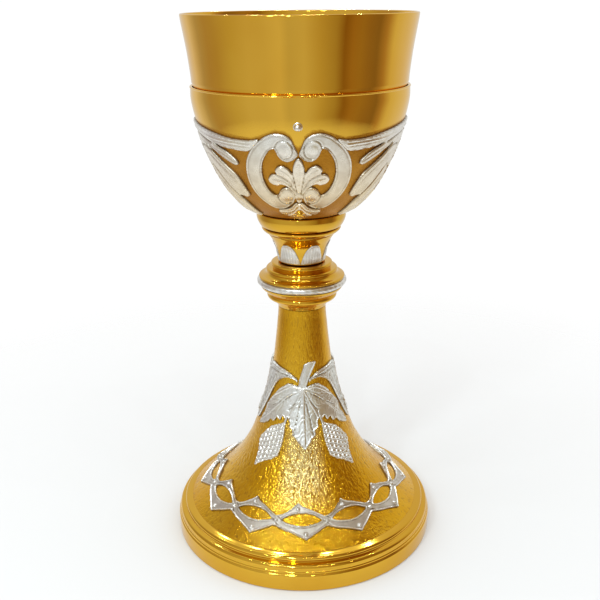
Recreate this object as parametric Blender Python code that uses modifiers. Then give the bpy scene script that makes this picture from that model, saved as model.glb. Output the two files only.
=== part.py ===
"""Communion chalice, modelled as the stack of turned and cast pieces it is made of.

Every size below is in millimetres and is scaled to metres where a mesh is made. The foot stands
on z = 0 and the axis of the chalice is Z; the front is the -Y side. A place on a turned surface
is given as (angle, height), where the angle is in degrees from the front towards +X.
"""
import math

import bmesh
import bpy
from mathutils import Matrix, Vector

MM = 0.001
STEPS = 32            # facets round the cup, the calyx, the stem and the foot
CAST_STEPS = 24       # facets round the smaller pieces between them
ROD_STEPS = 12        # facets round the tie rod and what it passes through
GAP = 0.3             # clearance between pieces that touch

# Driving heights, from the table up
HEIGHT = 240.0
SEAM_Z = 211.0        # top edge of the calyx, where the plain cup comes out of it
CALYX_FLOOR_Z = 156.9
COLLAR_Z = 149.6      # underside of the collar
CAPITAL_Z = 133.4
KNOP_BAND_Z = 122.5
KNOP_BAND_TOP_Z = 125.4
RING_TOP_Z = 119.3
STEM_TOP_Z = 112.0
STEM_FOOT_Z = 15.5

# Walls and bores
CUP_WALL = 1.0
CALYX_WALL = 1.1
CUP_CLEARANCE = 0.45  # between the cup and the calyx round it
STEM_WALL = 1.3
ROD_R = 3.0
FLANGE_BORE_R = 3.4
CAST_BORE_R = 5.0     # the cast pieces of the stack are cored out wider than the rod
KNOP_SPIGOT_R = 13.6
BOSS_R = 9.0
BOSS_TOP_Z = 162.1
BOSS_BORE_TOP_Z = 161.3
ROD_TOP_Z = 161.0
ROD_FOOT_Z = 98.0
WASHER_R = 8.6
WASHER_THICKNESS = 1.5
NUT_R = 5.8           # across the corners
NUT_THICKNESS = 4.0

# Applied silver work
PLATE = 0.9           # thickness of the cast ornaments
PLATE_LIFT = 0.35     # from the shell under them to their back
PETAL_PLATE = 0.6
PETAL_COUNT = 6
BRAID_CELLS = 12
PEARL_R = 1.6
PEARL_Z = 199.4

# Each storey of the stack was screwed up with its own small turn from the front
CALYX_TURN = -1.3
PETAL_TURN = -2.5
LEAF_TURN = 0.8
BRAID_TURN = -1.7
SIDES = (("front", 0.0), ("back", 180.0))


# ---------------------------------------------------------------- outlines

def offset_inward(profile, distance):
    """The profile of a wall's inner face. Profiles run down the outer side, top to bottom."""
    moved = []
    for i, (radius, height) in enumerate(profile):
        above = Vector(profile[max(i - 1, 0)])
        below = Vector(profile[min(i + 1, len(profile) - 1)])
        along = (below - above).normalized()
        moved.append((radius + along.y * distance, height - along.x * distance))
    return moved


def mirrored(half):
    """A closed outline from its right half, which starts and ends on the centre line."""
    left = [(-angle, height) for angle, height in reversed(half[1:-1])]
    return half + left


def flipped(outline):
    """The same outline on the other side of the centre line."""
    return [(-angle, height) for angle, height in outline]


# ------------------------------------------------- profiles of the turned shells

CALYX_SIDE = [(46.5, SEAM_Z), (46.3, 206.0), (45.2, 200.0), (43.2, 194.0), (41.6, 188.0),
              (38.7, 180.0), (33.5, 170.0), (26.5, 162.0), (21.3, 158.0)]
CALYX_PROFILE = CALYX_SIDE + [(19.0, CALYX_FLOOR_Z), (FLANGE_BORE_R, CALYX_FLOOR_Z)]
STEM_SIDE = [(11.0, 111.4), (11.5, 104.0), (12.8, 92.0), (15.2, 76.0), (20.0, 60.0),
             (26.5, 44.0), (32.8, 34.0), (40.5, 26.0), (48.2, 20.0), (54.6, STEM_FOOT_Z)]
STEM_PROFILE = [(FLANGE_BORE_R, STEM_TOP_Z), (10.4, STEM_TOP_Z)] + STEM_SIDE
CAPITAL_SIDE = [(17.6, 149.3), (17.4, 147.8), (15.3, 146.0), (13.5, 144.0), (12.4, 142.0),
                (11.4, 139.6), (10.9, 137.0), (10.4, CAPITAL_Z)]


class Surface:
    """A turned surface that ornaments lie on, read from the profile of the piece under them."""

    def __init__(self, profile, steps):
        self.profile = profile
        self.steps = steps

    def radius(self, height):
        for (r0, z0), (r1, z1) in zip(self.profile, self.profile[1:]):
            if z0 >= height >= z1 and z0 > z1:
                return r0 + (r1 - r0) * (z0 - height) / (z0 - z1)
        raise ValueError(f"no surface at height {height}")

    def height(self, radius):
        for (r0, z0), (r1, z1) in zip(self.profile, self.profile[1:]):
            if r0 <= radius <= r1 and r0 < r1:
                return z0 + (z1 - z0) * (radius - r0) / (r1 - r0)
        raise ValueError(f"no surface at radius {radius}")

    def normal(self, height):
        """The outward normal in the (radius, height) plane, averaged over a short stretch."""
        top, foot = self.profile[0][1], self.profile[-1][1]
        upper, lower = min(height + 1.0, top), max(height - 1.0, foot)
        along = Vector((self.radius(lower) - self.radius(upper), lower - upper)).normalized()
        return Vector((-along.y, along.x))

    def point(self, angle, height, lift):
        """The place in metres at an angle and height, lifted off the surface."""
        out = Vector((self.radius(height), height)) + self.normal(height) * lift
        turn = math.radians(angle)
        return Vector((out.x * math.sin(turn), -out.x * math.cos(turn), out.y)) * MM


CALYX = Surface(CALYX_SIDE, STEPS)
STEM = Surface(STEM_SIDE, STEPS)
CAPITAL = Surface(CAPITAL_SIDE, CAST_STEPS)


# ---------------------------------------------------------------- scene and materials

def clear_scene():
    for obj in list(bpy.data.objects):
        bpy.data.objects.remove(obj, do_unlink=True)


def make_material(name, colour, roughness, metallic=1.0):
    material = bpy.data.materials.new(name)
    material.use_nodes = True
    shader = material.node_tree.nodes["Principled BSDF"]
    shader.inputs["Base Color"].default_value = (*colour, 1.0)
    shader.inputs["Roughness"].default_value = roughness
    shader.inputs["Metallic"].default_value = metallic
    return material


def finish_object(name, mesh, material):
    """Put a finished mesh in the chalice's collection under its own name."""
    mesh.materials.clear()
    mesh.materials.append(material)
    mesh.shade_smooth()
    mesh.set_sharp_from_angle(angle=math.radians(35))
    obj = bpy.data.objects.new(name, mesh)
    CHALICE.objects.link(obj)
    return obj


def evaluated_mesh(obj):
    """The object's shape with its modifiers or its curve bevel, as a plain mesh."""
    depsgraph = bpy.context.evaluated_depsgraph_get()
    depsgraph.update()
    return bpy.data.meshes.new_from_object(obj.evaluated_get(depsgraph))


# ---------------------------------------------------------------- makers

def turned(name, profile, material, closed=True, wall=0.0, steps=STEPS):
    """A turned piece: the profile runs down its outer side. A wall makes an open profile a shell."""
    line = bpy.data.meshes.new(name + "_profile")
    edges = [(i, i + 1) for i in range(len(profile) - 1)]
    if closed:
        edges.append((len(profile) - 1, 0))
    line.from_pydata([(radius * MM, 0, height * MM) for radius, height in profile], edges, [])
    draft = bpy.data.objects.new(name + "_draft", line)
    CHALICE.objects.link(draft)
    screw = draft.modifiers.new("Turn", "SCREW")
    screw.steps = steps
    screw.render_steps = steps
    screw.use_merge_vertices = True
    screw.merge_threshold = 0.00001
    if wall:
        shell = draft.modifiers.new("Wall", "SOLIDIFY")
        shell.thickness = wall * MM
        shell.offset = -1.0
        shell.use_even_offset = True
    mesh = evaluated_mesh(draft)
    bpy.data.objects.remove(draft, do_unlink=True)
    return finish_object(name, mesh, material)


def flat_plate(loops, thickness, centre_lift):
    """A bmesh of a flat plate with the given closed outlines, holes among them."""
    curve = bpy.data.curves.new("outline", "CURVE")
    curve.dimensions = "2D"
    curve.fill_mode = "BOTH"
    curve.extrude = thickness * MM / 2
    for loop in loops:
        spline = curve.splines.new("POLY")
        spline.points.add(len(loop) - 1)
        for point, (x, y) in zip(spline.points, loop):
            point.co = (x * MM, y * MM, 0, 1)
        spline.use_cyclic_u = True
    draft = bpy.data.objects.new("outline", curve)
    draft.location.z = centre_lift * MM
    CHALICE.objects.link(draft)
    mesh = evaluated_mesh(draft)
    mesh.transform(Matrix.Translation(draft.location))
    bpy.data.objects.remove(draft, do_unlink=True)
    bm = bmesh.new()
    bm.from_mesh(mesh)
    bpy.data.meshes.remove(mesh)
    bmesh.ops.remove_doubles(bm, verts=bm.verts, dist=1e-7)
    return bm


def divide(bm, direction, places):
    """Cut a flat plate into strips across a direction, so that it can be bent."""
    for place in places:
        everything = bm.verts[:] + bm.edges[:] + bm.faces[:]
        bmesh.ops.bisect_plane(bm, geom=everything, dist=1e-6, plane_no=direction,
                               plane_co=Vector(direction) * place * MM)


def mesh_from(bm, name):
    bmesh.ops.triangulate(bm, faces=bm.faces)
    bmesh.ops.recalc_face_normals(bm, faces=bm.faces)
    mesh = bpy.data.meshes.new(name)
    bm.to_mesh(mesh)
    bm.free()
    return mesh


def ornament(name, outline, surface, material, turn=0.0, thickness=PLATE):
    """A cast plate that lies on a turned surface. Its outline is (angle, height).

    It bends where the facets of the surface do, so it stays parallel to them.
    """
    bm = flat_plate([outline], thickness, PLATE_LIFT + thickness / 2)
    bmesh.ops.dissolve_limit(bm, angle_limit=0.01, verts=bm.verts, edges=bm.edges)
    facet = 360.0 / surface.steps
    divide(bm, (1, 0, 0), [facet * i - turn for i in range(-surface.steps, surface.steps)])
    divide(bm, (0, 1, 0), [height for _, height in surface.profile])
    for vert in bm.verts:
        x, y, z = vert.co / MM
        vert.co = surface.point(x + turn, y, z)
    return finish_object(name, mesh_from(bm, name), material)


# ---------------------------------------------------------------- cup and calyx

def make_cup(gold):
    """The plain cup. Below the seam it follows the inside of the calyx at a small clearance."""
    above = [(49.4, HEIGHT), (49.4, 238.6), (48.2, 231.5), (46.6, 220.0), (45.9, 213.2)]
    clear = offset_inward(CALYX_SIDE, CALYX_WALL + CUP_CLEARANCE)
    inside = [point for point in clear if point[1] > BOSS_TOP_Z + 1.0]
    floor_z = BOSS_TOP_Z + GAP
    profile = above + inside + [(18.0, floor_z + 0.3), (10.5, floor_z), (0.0, floor_z)]
    turned("cup", profile, gold, closed=False, wall=CUP_WALL)


def make_cup_boss(brass):
    """The boss soldered under the cup, with the blind hole that takes the tie rod."""
    foot_z = CALYX_FLOOR_Z + CALYX_WALL + GAP
    profile = [(0.0, BOSS_TOP_Z), (BOSS_R, BOSS_TOP_Z), (BOSS_R, foot_z),
               (ROD_R + GAP, foot_z), (ROD_R + GAP, BOSS_BORE_TOP_Z), (0.0, BOSS_BORE_TOP_Z)]
    turned("cup_boss", profile, brass, closed=False, steps=ROD_STEPS)


def make_scrolls(silver):
    """The C-scrolls that frame a palmette: a wide band that rolls into a volute at each end."""
    right = [(1.7, 191.0), (3.6, 194.6), (11.3, 196.8), (19.5, 194.2), (26.0, 190.0),
             (31.2, 184.0), (33.4, 177.0), (31.8, 171.6), (27.0, 167.2), (19.9, 164.4),
             (11.5, 164.6), (4.9, 167.3), (3.6, 170.0), (7.6, 173.2), (12.4, 172.2),
             (14.6, 170.4), (19.6, 172.6), (22.3, 178.5), (20.4, 184.6), (16.4, 189.0),
             (12.3, 190.1), (10.9, 187.2), (6.4, 185.6), (2.5, 187.8)]
    for side, turn in SIDES:
        place = turn + CALYX_TURN
        ornament(f"scroll_{side}_right", right, CALYX, silver, place)
        ornament(f"scroll_{side}_left", flipped(right), CALYX, silver, place)


def make_palmettes(silver):
    """The palmette inside each pair of scrolls: a centre leaf and two lobes on each side."""
    half = [(0.0, 186.4), (1.0, 185.6), (2.7, 182.0), (3.0, 179.4), (6.4, 182.4), (10.4, 183.2),
            (13.7, 181.6), (12.4, 179.4), (16.6, 179.4), (18.8, 177.4), (15.4, 175.9),
            (10.4, 176.0), (6.2, 174.6), (2.6, 172.0), (1.7, 168.4), (0.0, 167.4)]
    for side, turn in SIDES:
        ornament(f"palmette_{side}", mirrored(half), CALYX, silver, turn + CALYX_TURN)


def make_drops(silver):
    """The small leafy drop that hangs under each pair of scrolls."""
    half = [(0.0, 166.6), (3.2, 166.8), (7.0, 164.5), (12.0, 163.6), (17.6, 163.3),
            (15.6, 161.2), (9.6, 160.8), (6.8, 159.4), (3.6, 159.0), (0.0, 158.2)]
    for side, turn in SIDES:
        ornament(f"drop_{side}", mirrored(half), CALYX, silver, turn + CALYX_TURN)


def make_pearls(silver):
    """The round-headed pearl above each palmette, set square to the calyx."""
    dome = [(PEARL_R * math.sin(a), PEARL_R * math.cos(a)) for a in (0.0, 0.4, 0.8, 1.2)]
    profile = dome + [(PEARL_R, 0.0), (0.0, 0.0)]
    out = CALYX.normal(PEARL_Z)
    tilt = math.atan2(out.x, out.y)
    for side, turn in SIDES:
        pearl = turned(f"pearl_{side}", profile, silver, closed=False, steps=ROD_STEPS)
        pearl.location = CALYX.point(turn + CALYX_TURN, PEARL_Z, PLATE_LIFT)
        pearl.rotation_euler = (tilt, 0.0, math.radians(turn + CALYX_TURN))


def make_acanthus(silver):
    """The swag and hanging leaves that fill each side, from one pair of scrolls to the other."""
    rising = [(-90.0, 198.0), (-76.0, 197.4), (-62.0, 196.2), (-51.0, 195.2), (-40.0, 193.8),
              (-29.0, 193.4), (-24.6, 193.2), (-27.6, 190.2), (-34.0, 189.9), (-45.0, 189.9),
              (-53.0, 191.2), (-45.0, 188.4), (-37.0, 183.4), (-41.0, 183.2), (-50.0, 186.0),
              (-60.0, 189.6), (-57.5, 186.6), (-49.0, 181.4), (-42.5, 177.6), (-39.0, 172.6),
              (-38.5, 169.0), (-45.8, 168.4), (-51.0, 167.6), (-46.0, 163.6), (-43.0, 159.2),
              (-66.0, 158.8), (-90.0, 158.8)]
    half = [(angle + 90.0, height) for angle, height in rising]
    outline = mirrored(half)
    ornament("acanthus_right", outline, CALYX, silver, 90.0 + CALYX_TURN)
    ornament("acanthus_left", outline, CALYX, silver, -90.0 + CALYX_TURN)


# ---------------------------------------------------------------- collar, capital and knop

def make_collar(gold):
    side = [(19.0, 156.6), (19.8, 156.2), (19.9, 154.2), (19.6, 152.6), (18.9, 151.0),
            (17.6, COLLAR_Z)]
    bore = [(CAST_BORE_R, COLLAR_Z), (CAST_BORE_R, 156.6)]
    turned("cup_collar", side + bore, gold, steps=CAST_STEPS)


def make_capital(gold, silver):
    """The waisted capital, and the petals that stand round its foot."""
    bore = [(CAST_BORE_R, CAPITAL_Z), (CAST_BORE_R, CAPITAL_SIDE[0][1])]
    turned("capital", CAPITAL_SIDE + bore, gold, steps=CAST_STEPS)
    half = [(0.0, 142.0), (12.0, 141.4), (20.0, 139.4), (26.0, 136.6), (28.0, 134.4), (0.0, 134.0)]
    pitch = 360.0 / PETAL_COUNT
    for i in range(PETAL_COUNT):
        turn = (i + 0.5) * pitch + PETAL_TURN
        ornament(f"petal_{i + 1}", mirrored(half), CAPITAL, silver, turn, PETAL_PLATE)


def make_knop(gold, silver):
    """The knop: a stepped top, a silver band round its widest place, and a conical underside."""
    upper_foot_z = KNOP_BAND_TOP_Z + GAP
    top = [(12.4, 133.1), (13.3, 132.4), (13.5, 131.0), (14.4, 130.3), (15.9, 129.8),
           (16.3, 128.6), (17.2, 127.6), (18.9, 127.0), (19.7, upper_foot_z),
           (CAST_BORE_R, upper_foot_z), (CAST_BORE_R, 133.1)]
    turned("knop_upper", top, gold, steps=CAST_STEPS)
    band = [(19.9, KNOP_BAND_TOP_Z), (20.25, 124.2), (19.4, KNOP_BAND_Z),
            (KNOP_SPIGOT_R + 0.4, KNOP_BAND_Z), (KNOP_SPIGOT_R + 0.4, KNOP_BAND_TOP_Z)]
    turned("knop_band", band, silver, steps=CAST_STEPS)
    under_top_z = KNOP_BAND_Z - GAP
    under_foot_z = RING_TOP_Z + GAP
    under = [(KNOP_SPIGOT_R, KNOP_BAND_TOP_Z), (KNOP_SPIGOT_R, under_top_z), (19.1, under_top_z),
             (18.4, 121.2), (17.0, under_foot_z), (CAST_BORE_R, under_foot_z),
             (CAST_BORE_R, KNOP_BAND_TOP_Z)]
    turned("knop_lower", under, gold, steps=CAST_STEPS)
    ring_foot_z = STEM_TOP_Z + GAP
    ring = [(15.4, RING_TOP_Z), (16.0, 118.4), (15.2, 117.0), (13.6, 115.8), (12.6, 115.3),
            (12.4, 114.4), (11.3, ring_foot_z), (CAST_BORE_R, ring_foot_z),
            (CAST_BORE_R, RING_TOP_Z)]
    turned("stem_ring", ring, gold, steps=CAST_STEPS)


# ---------------------------------------------------------------- foot

def make_foot_rim(gold):
    """The stepped rim: a plain wall and two rolled beads, hollow underneath."""
    side = [(54.95, 14.9), (56.6, 14.9), (58.2, 13.9), (58.6, 12.2), (60.2, 11.4), (61.0, 9.8),
            (61.0, 8.7), (61.6, 8.0), (61.8, 7.2), (61.8, 0.0)]
    inside = [(59.4, 0.0), (59.4, 6.4), (58.6, 9.2), (56.2, 11.6), (52.4, 12.6), (52.4, 14.1),
              (54.95, 14.1)]
    turned("foot_rim", side + inside, gold)


def make_vine(silver):
    """On the front and the back of the stem: a leaf, two bunches of grapes and two shoots."""
    leaf = [(1.0, 49.3), (11.0, 53.0), (20.8, 60.6), (22.7, 64.2), (29.0, 61.8), (37.5, 60.2),
            (52.0, 57.4), (69.5, 55.6), (64.0, 64.0), (57.0, 69.8), (46.0, 74.4), (33.0, 76.8),
            (20.0, 77.4), (9.0, 76.2), (8.0, 79.6), (17.0, 88.4), (3.0, 87.2), (-5.0, 79.6),
            (-9.0, 76.2), (-20.0, 77.4), (-33.0, 76.8), (-46.0, 74.4), (-57.0, 69.8),
            (-64.0, 64.0), (-69.5, 55.6), (-52.0, 57.4), (-37.5, 60.2), (-29.0, 61.8),
            (-22.7, 64.2), (-20.8, 60.6), (-11.0, 53.0)]
    grapes = [(30.0, 59.4), (43.0, 58.0), (57.5, 52.6), (57.0, 44.0), (51.0, 38.6),
              (38.0, 41.4), (29.0, 46.4), (27.4, 54.0)]
    shoot = [(13.0, 78.4), (31.0, 80.4), (45.0, 78.6), (58.0, 73.2), (67.0, 66.6), (75.0, 57.6),
             (81.0, 56.4), (85.0, 62.0), (88.6, 72.0), (88.6, 84.4), (66.0, 83.9), (45.0, 84.2),
             (30.0, 83.4), (18.0, 81.4)]
    for side, turn in SIDES:
        place = turn + LEAF_TURN
        ornament(f"vine_leaf_{side}", leaf, STEM, silver, place)
        ornament(f"grapes_{side}_right", grapes, STEM, silver, place, 1.6)
        ornament(f"grapes_{side}_left", flipped(grapes), STEM, silver, place, 1.6)
        ornament(f"vine_shoot_{side}_right", shoot, STEM, silver, place)
        ornament(f"vine_shoot_{side}_left", flipped(shoot), STEM, silver, place)


def make_thorn_braid(silver):
    """The pierced ring on the foot, as if two thorny bands were plaited round it.

    One cell runs from crossing to crossing. Its outline is drawn from above, as (angle, radius).
    """
    pitch = 360.0 / BRAID_CELLS
    upper = [(-15.0, 40.9), (-10.0, 39.0), (-3.0, 36.6), (4.0, 38.2), (10.0, 39.6)]
    lower = [(-15.0, 45.6), (-10.0, 47.2), (-3.0, 48.6), (3.0, 50.2), (10.0, 47.0)]
    window = [(-11.0, 43.2), (-6.0, 41.0), (0.0, 39.8), (6.0, 41.0), (11.0, 43.2),
              (7.0, 45.4), (2.0, 46.6), (-6.0, 45.2)]
    outer, inner, loops = [], [], []
    for cell in range(BRAID_CELLS):
        turn = cell * pitch + BRAID_TURN
        outer += [polar(angle + turn, radius) for angle, radius in lower]
        inner += [polar(angle + turn, radius) for angle, radius in upper]
        loops.append([polar(angle + turn, radius) for angle, radius in window])
    bm = flat_plate([outer, inner] + loops, PLATE, PLATE_LIFT + PLATE / 2)
    for i in range(BRAID_CELLS):
        turn = math.radians(i * 180.0 / BRAID_CELLS)
        divide_through_axis(bm, (math.cos(turn), math.sin(turn), 0))
    for vert in bm.verts:
        x, y, z = vert.co / MM
        vert.co = STEM.point(math.degrees(math.atan2(x, -y)), STEM.height(math.hypot(x, y)), z)
    finish_object("thorn_braid", mesh_from(bm, "thorn_braid"), silver)


def polar(angle, radius):
    """A point seen from above, in the same sense as the angles round the chalice."""
    turn = math.radians(angle)
    return radius * math.sin(turn), -radius * math.cos(turn)


def divide_through_axis(bm, normal):
    everything = bm.verts[:] + bm.edges[:] + bm.faces[:]
    bmesh.ops.bisect_plane(bm, geom=everything, dist=1e-6, plane_no=normal, plane_co=(0, 0, 0))


# ---------------------------------------------------------------- what holds the stack together

def make_tie_rod(steel):
    """The rod screwed into the cup's boss, and the washer and nuts that pull the stack tight."""
    rod = [(0.0, ROD_TOP_Z), (ROD_R, ROD_TOP_Z), (ROD_R, ROD_FOOT_Z), (0.0, ROD_FOOT_Z)]
    turned("tie_rod", rod, steel, closed=False, steps=ROD_STEPS)
    bore_r = ROD_R + GAP
    top_z = STEM_TOP_Z - STEM_WALL - GAP
    foot_z = top_z - WASHER_THICKNESS
    washer = [(WASHER_R, top_z), (WASHER_R, foot_z), (bore_r, foot_z), (bore_r, top_z)]
    turned("washer", washer, steel, steps=ROD_STEPS)
    for name in ("clamp_nut", "lock_nut"):
        top_z = foot_z - GAP
        foot_z = top_z - NUT_THICKNESS
        hexagonal_nut(name, top_z, foot_z, bore_r, steel)


def hexagonal_nut(name, top_z, foot_z, bore_r, material):
    """A six-sided blank with the bore cut through it."""
    hexagon = [(NUT_R * math.cos(math.radians(a)), NUT_R * math.sin(math.radians(a)))
               for a in range(0, 360, 60)]
    bore = [(bore_r * math.cos(math.radians(a)), bore_r * math.sin(math.radians(a)))
            for a in range(0, 360, 360 // ROD_STEPS)]
    bm = flat_plate([hexagon, bore], top_z - foot_z, (top_z + foot_z) / 2)
    finish_object(name, mesh_from(bm, name), material)


clear_scene()
CHALICE = bpy.data.collections.new("communion_chalice")
bpy.context.scene.collection.children.link(CHALICE)

POLISHED_GOLD = make_material("polished_gold", (0.86, 0.58, 0.17), 0.12)
SATIN_GOLD = make_material("satin_gold", (0.78, 0.50, 0.14), 0.38)
SATIN_SILVER = make_material("satin_silver", (0.74, 0.71, 0.66), 0.34)
PLAIN_STEEL = make_material("plain_steel", (0.55, 0.55, 0.56), 0.30)

make_cup(POLISHED_GOLD)
make_cup_boss(POLISHED_GOLD)
turned("calyx", CALYX_PROFILE, POLISHED_GOLD, closed=False, wall=CALYX_WALL)
make_scrolls(SATIN_SILVER)
make_palmettes(SATIN_SILVER)
make_drops(SATIN_SILVER)
make_pearls(SATIN_SILVER)
make_acanthus(SATIN_SILVER)
make_collar(POLISHED_GOLD)
make_capital(POLISHED_GOLD, SATIN_SILVER)
make_knop(POLISHED_GOLD, SATIN_SILVER)
turned("stem", STEM_PROFILE, SATIN_GOLD, closed=False, wall=STEM_WALL)
make_vine(SATIN_SILVER)
make_thorn_braid(SATIN_SILVER)
make_foot_rim(POLISHED_GOLD)
make_tie_rod(PLAIN_STEEL)
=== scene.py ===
"""Communion chalice: the finished surfaces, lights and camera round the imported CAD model.

Sizes are in millimetres of a 240 mm tall chalice and are scaled to the frame where a mesh is made.
The axis is Z and the front is -Y. A place on a turned surface is (angle, height), with the angle in
degrees from the front towards +X. Turned pieces are revolved profiles. The silver ornaments are
relief sheets: an outline and a height are worked out on a grid laid over the shell, and the grid is
cut along the outline and raised off the shell.
"""
import math

import bpy
import numpy as np
from mathutils import Matrix, Vector


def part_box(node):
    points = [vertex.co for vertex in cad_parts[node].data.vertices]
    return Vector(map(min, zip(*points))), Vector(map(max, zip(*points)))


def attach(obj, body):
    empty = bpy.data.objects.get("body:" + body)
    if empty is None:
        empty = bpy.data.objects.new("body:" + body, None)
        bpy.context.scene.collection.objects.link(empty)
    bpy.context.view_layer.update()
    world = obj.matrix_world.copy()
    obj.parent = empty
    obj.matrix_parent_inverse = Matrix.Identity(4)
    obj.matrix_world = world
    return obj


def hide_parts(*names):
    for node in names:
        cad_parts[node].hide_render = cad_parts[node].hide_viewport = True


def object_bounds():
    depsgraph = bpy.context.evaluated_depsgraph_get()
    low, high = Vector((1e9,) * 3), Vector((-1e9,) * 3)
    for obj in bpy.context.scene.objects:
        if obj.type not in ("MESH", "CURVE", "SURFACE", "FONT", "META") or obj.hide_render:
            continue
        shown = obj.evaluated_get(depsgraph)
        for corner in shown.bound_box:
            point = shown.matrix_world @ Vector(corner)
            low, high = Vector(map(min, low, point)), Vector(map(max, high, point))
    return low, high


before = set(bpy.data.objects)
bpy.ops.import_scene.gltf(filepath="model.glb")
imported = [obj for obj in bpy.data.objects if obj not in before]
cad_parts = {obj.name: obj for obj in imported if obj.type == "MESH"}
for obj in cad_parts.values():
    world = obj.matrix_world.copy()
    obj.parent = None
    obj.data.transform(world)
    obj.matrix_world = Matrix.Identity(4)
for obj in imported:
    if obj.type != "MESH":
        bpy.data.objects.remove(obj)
CAD_BOX = [list(corner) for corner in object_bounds()]
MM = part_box("cup")[1].z / 240.0          # one millimetre of the drawing, in the frame's metres

# Turns of the storeys of the stack, in degrees from the front
CALYX_TURN = -1.3
PETAL_TURN = -2.5
LEAF_TURN = 0.8
BRAID_TURN = -1.7
SIDES = (("front", 0.0), ("back", 180.0))

SEAM_Z = 211.0                           # top edge of the calyx
RELIEF_FOOT = -0.15                      # how deep the relief sheets sink into the shell
RELIEF_LEVELS = (0.40, 0.98)             # heights between which silver goes from dull to bright
FINE = 384                               # facets round the large turned pieces
ROUND = 256                              # facets round the small ones


# ---------------------------------------------------------------- profiles

def between_points(before, start, stop, after, t):
    """The Catmull-Rom curve from start (t = 0) to stop (t = 1)."""
    return 0.5 * (2 * start + (stop - before) * t + (2 * before - 5 * start + 4 * stop - after) * t ** 2
                  + (3 * start - before - 3 * stop + after) * t ** 3)


def spline(points, count):
    """A smooth line of count points through all the given points."""
    points = np.asarray(points, float)
    ends = np.vstack([2 * points[0] - points[1], points, 2 * points[-1] - points[-2]])
    chord = np.hypot(*np.diff(points, axis=0).T)
    place = np.concatenate([[0], np.cumsum(chord)])
    wanted = np.linspace(0, place[-1], count)
    span = np.clip(np.searchsorted(place, wanted, side="right") - 1, 0, len(points) - 2)
    t = ((wanted - place[span]) / chord[span])[:, None]
    return between_points(*(ends[span + k] for k in range(4)), t)


def closed_spline(points, per_span=6):
    """A smooth closed line through all the given points."""
    points = np.asarray(points, float)
    count = len(points)
    t = (np.arange(per_span) / per_span)[None, :, None]
    line = between_points(*(np.roll(points, 1 - k, axis=0)[:, None] for k in range(4)), t)
    return line.reshape(count * per_span, 2)


def arc(centre, radius, start, stop, count=9):
    """Points on an arc in the (radius, height) plane. Angles in degrees from outwards, up is 90."""
    turn = np.radians(np.linspace(start, stop, count))
    return np.column_stack([centre[0] + radius * np.cos(turn), centre[1] + radius * np.sin(turn)])


def joined(*runs):
    """One line from several, without the points that repeat."""
    line = np.vstack([np.asarray(run, float).reshape(-1, 2) for run in runs])
    keep = np.concatenate([[True], np.hypot(*np.diff(line, axis=0).T) > 1e-4])
    return line[keep]


class Shell:
    """The outer side of a turned piece, on which reliefs lie. The line runs from the top down."""

    def __init__(self, line):
        self.r, self.z = line[:, 0], line[:, 1]
        self.s = np.concatenate([[0], np.cumsum(np.hypot(*np.diff(line, axis=0).T))])
        along_r, along_z = np.gradient(self.r, self.s), np.gradient(self.z, self.s)
        length = np.hypot(along_r, along_z)
        self.out_r, self.out_z = -along_z / length, along_r / length

    def at_height(self, z):
        return np.interp(-np.asarray(z, float), -self.z, self.s)

    def at_radius(self, r):
        return np.interp(np.asarray(r, float), self.r, self.s)

    def radius(self, s):
        return np.interp(s, self.s, self.r)

    def height(self, s):
        return np.interp(s, self.s, self.z)

    def points(self, angle, s, lift):
        """Places in metres at an angle, a distance down the line and a lift off the surface."""
        out_r = np.interp(s, self.s, self.out_r)
        out_z = np.interp(s, self.s, self.out_z)
        r = self.radius(s) + out_r * lift
        z = self.height(s) + out_z * lift
        turn = np.radians(angle)
        return np.stack([r * np.sin(turn), -r * np.cos(turn), z], -1) * MM


# ---------------------------------------------------------------- meshes

def piece(name, points, faces, material, nodes, sharp, attributes=None):
    """A finished piece that rides on the chalice and stands for the CAD nodes named."""
    mesh = bpy.data.meshes.new(name)
    mesh.from_pydata(points.tolist(), [], faces)
    mesh.materials.append(material)
    for label, values in (attributes or {}).items():
        layer = mesh.attributes.new(label, "FLOAT", "POINT")
        layer.data.foreach_set("value", np.asarray(values, np.float32))
    mesh.shade_smooth()
    mesh.set_sharp_from_angle(angle=math.radians(sharp))
    mesh.validate()
    obj = bpy.data.objects.new(name, mesh)
    bpy.context.scene.collection.objects.link(obj)
    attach(obj, "root")
    if nodes:
        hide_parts(*nodes)
    return obj


def turned(name, line, material, nodes, steps=ROUND, closed=True, relief=None, attributes=None):
    """Revolves a line. The line runs down the outer side, then back up the inner side.

    relief(angle, index) gives how far each point stands off the line, in millimetres.
    attributes maps a name to a function of (angle, index) with values from 0 to 1.
    """
    line = np.asarray(line, float)
    rows = len(line)
    angle = np.arange(steps) * 360.0 / steps
    turns, index = np.meshgrid(angle, np.arange(rows))
    along = np.gradient(line, axis=0)
    out = np.column_stack([-along[:, 1], along[:, 0]])
    out /= np.maximum(np.hypot(*out.T), 1e-9)[:, None]
    lift = relief(turns, index) if relief else np.zeros_like(turns)
    r = line[:, :1] + out[:, :1] * lift
    z = line[:, 1:] + out[:, 1:] * lift
    turn = np.radians(turns)
    points = np.stack([r * np.sin(turn), -r * np.cos(turn), z], -1).reshape(-1, 3) * MM
    ids = np.arange(rows * steps).reshape(rows, steps)
    below = np.roll(ids, -1, axis=0) if closed else ids[1:]
    above = ids if closed else ids[:-1]
    beside = np.roll(above, -1, axis=1)
    beside_below = np.roll(below, -1, axis=1)
    faces = np.stack([above, below, beside_below, beside], -1).reshape(-1, 4).tolist()
    if not closed:                       # the ends meet the axis
        for row, order in ((ids[0], 1), (ids[-1], -1)):
            faces.append(row[::order].tolist())
    values = {label: rule(turns, index).ravel() for label, rule in (attributes or {}).items()}
    return piece(name, points, faces, material, nodes, 38.0, values)


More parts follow.
